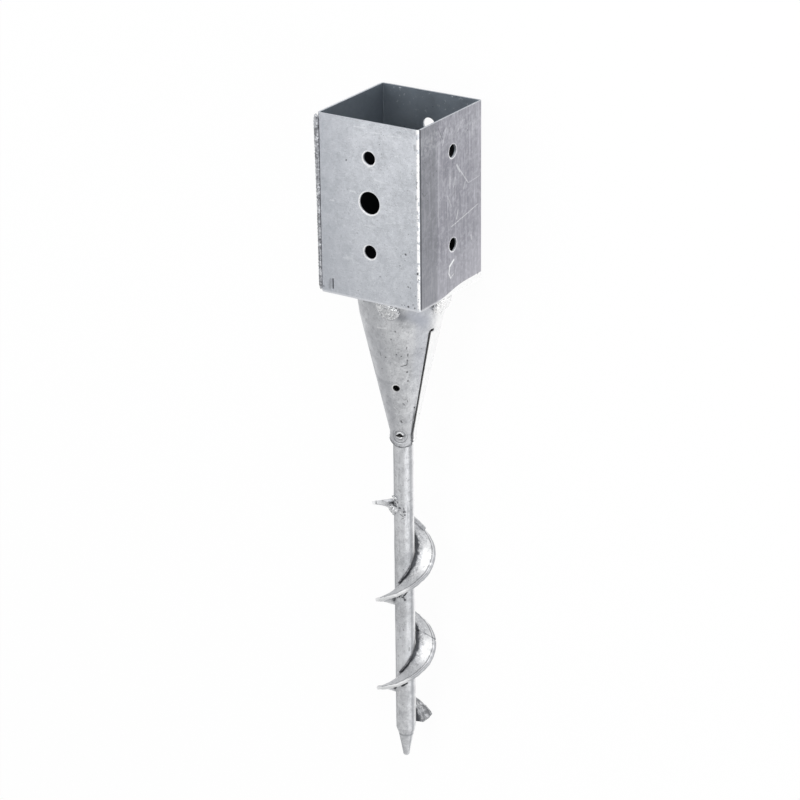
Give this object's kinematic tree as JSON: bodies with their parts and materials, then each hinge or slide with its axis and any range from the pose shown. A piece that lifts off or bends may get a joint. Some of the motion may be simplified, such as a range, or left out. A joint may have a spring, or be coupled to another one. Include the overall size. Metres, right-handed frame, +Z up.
{
  "type": "ground screw",
  "caption": "Galvanised steel ground screw with a square sleeve that holds a timber post above a cone, a round shaft and helical flights.",
  "frame": {"origin": "middle of the object's box on the surface that it lies on", "axes": "+Z up; +Y along the screw from its point to its sleeve, which lies 3 degrees nose down; +X to the face with two holes"},
  "size_m": [0.0976, 0.5868, 0.1054],
  "materials": {
    "sleeve_zinc": "hot-dip galvanised sheet, mottled, satin",
    "cone_zinc": "hot-dip galvanised sheet, mottled, satin",
    "bar_zinc": "hot-dip galvanised round bar, satin",
    "flight_zinc": "hot-dip galvanised plate, bright",
    "weld_zinc": "galvanised weld metal, rough"
  },
  "bodies": {
    "root": {"base_plate": "sleeve_zinc", "cone": "cone_zinc", "flight_lower": "flight_zinc", "flight_middle": "flight_zinc", "flight_upper": "flight_zinc", "flight_weld_first_turn": "weld_zinc", "flight_weld_first_under": "weld_zinc", "flight_weld_second_turn": "weld_zinc", "flight_weld_second_under": "weld_zinc", "flight_weld_start": "weld_zinc", "plug_weld": "weld_zinc", "post_sleeve": "sleeve_zinc", "shaft": "bar_zinc", "sleeve_seam_weld": "weld_zinc", "sleeve_weld_back": "weld_zinc", "sleeve_weld_front": "weld_zinc", "sleeve_weld_left": "weld_zinc", "sleeve_weld_right": "weld_zinc"}
  },
  "joints": []
}
